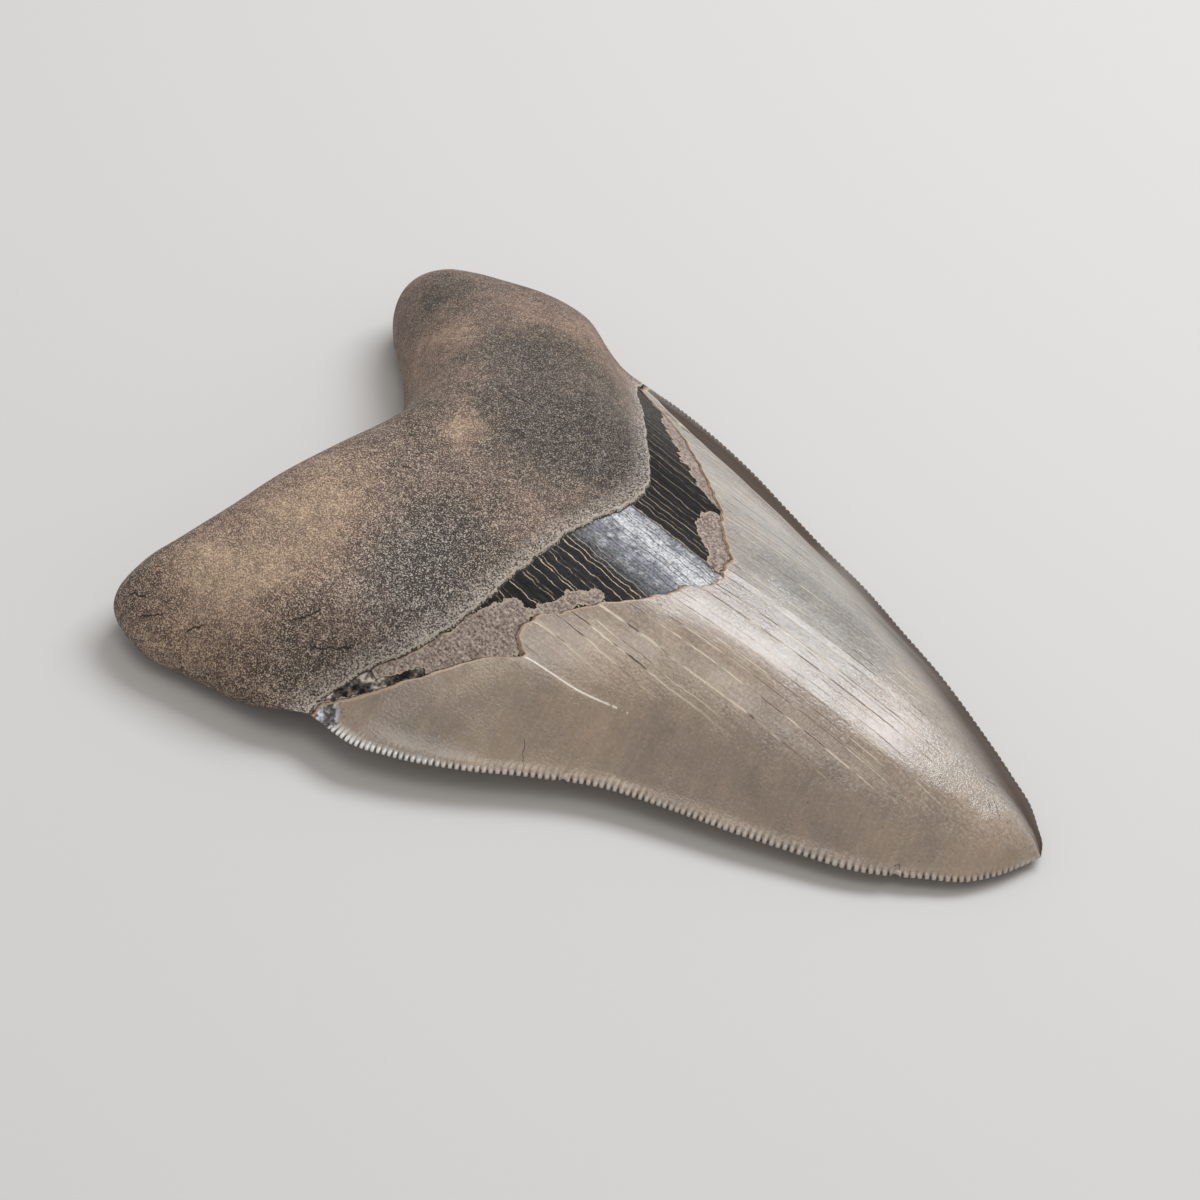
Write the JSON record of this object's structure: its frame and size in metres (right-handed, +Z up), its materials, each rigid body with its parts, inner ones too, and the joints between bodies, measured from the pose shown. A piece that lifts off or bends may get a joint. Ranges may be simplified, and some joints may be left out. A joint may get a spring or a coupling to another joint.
{
  "type": "megalodon tooth",
  "caption": "Fossil shark tooth lying on its flat side: broad serrated triangular blade, dark chevron band and thick two-lobed root.",
  "frame": {"origin": "centre of the bounding box at its bottom, on the surface that the tooth lies on", "axes": "+X towards the tip, +Y towards the far cutting edge, +Z up through the domed lingual face"},
  "size_m": [0.152, 0.1112, 0.0275],
  "materials": {
    "fossil_tooth": "polished taupe enameloid crown, glossy near-black band, matt brown-grey porous root"
  },
  "bodies": {
    "root": {"megalodon_tooth": "fossil_tooth"}
  },
  "joints": []
}
